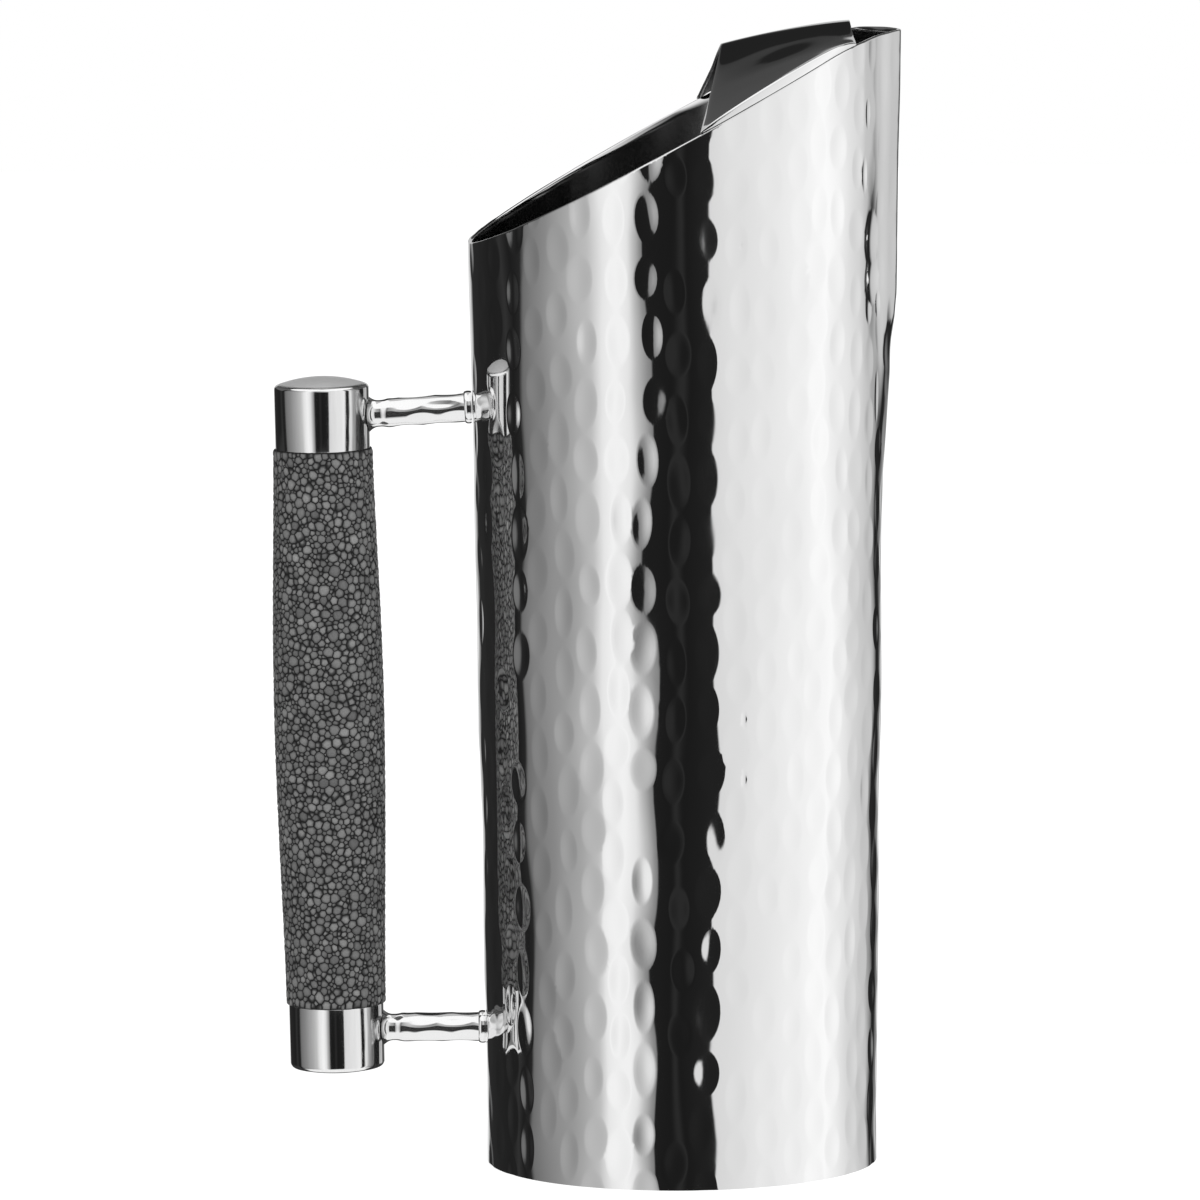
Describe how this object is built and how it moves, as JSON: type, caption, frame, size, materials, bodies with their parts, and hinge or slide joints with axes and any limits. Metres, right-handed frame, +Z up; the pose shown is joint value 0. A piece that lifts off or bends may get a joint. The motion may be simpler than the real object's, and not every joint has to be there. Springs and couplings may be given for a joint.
{
  "type": "pitcher",
  "caption": "Tall tapered water pitcher of hammered steel with a slanted rim, a pulled spout under a folded ice guard, and a straight leather-wrapped handle on posts.",
  "frame": {"origin": "centre of the round base, on the surface that the pitcher stands on", "axes": "+Z up along the body, +X towards the spout, -X towards the handle"},
  "size_m": [0.1682, 0.112, 0.3046],
  "materials": {
    "hammered_steel": "hammered and mirror polished stainless steel",
    "sheet_steel": "mirror polished sheet stainless steel",
    "base_steel": "fine brushed",
    "hammered_rod": "hammered rod, mirror polished stainless steel",
    "polished_steel": "mirror polished stainless steel",
    "machined_steel": "turned and threaded",
    "core_wood": "turned, unfinished",
    "pebbled_leather": "dark grey pebbled shagreen, satin"
  },
  "bodies": {
    "root": {"body_shell": "hammered_steel", "base_disc": "base_steel", "ice_guard": "sheet_steel", "upper_post": "hammered_rod", "lower_post": "hammered_rod", "upper_collar": "polished_steel", "lower_collar": "polished_steel", "upper_cap": "polished_steel", "lower_cap": "polished_steel", "upper_insert": "machined_steel", "lower_insert": "machined_steel", "tie_rod": "machined_steel", "grip_core": "core_wood", "grip_wrap": "pebbled_leather"}
  },
  "joints": []
}
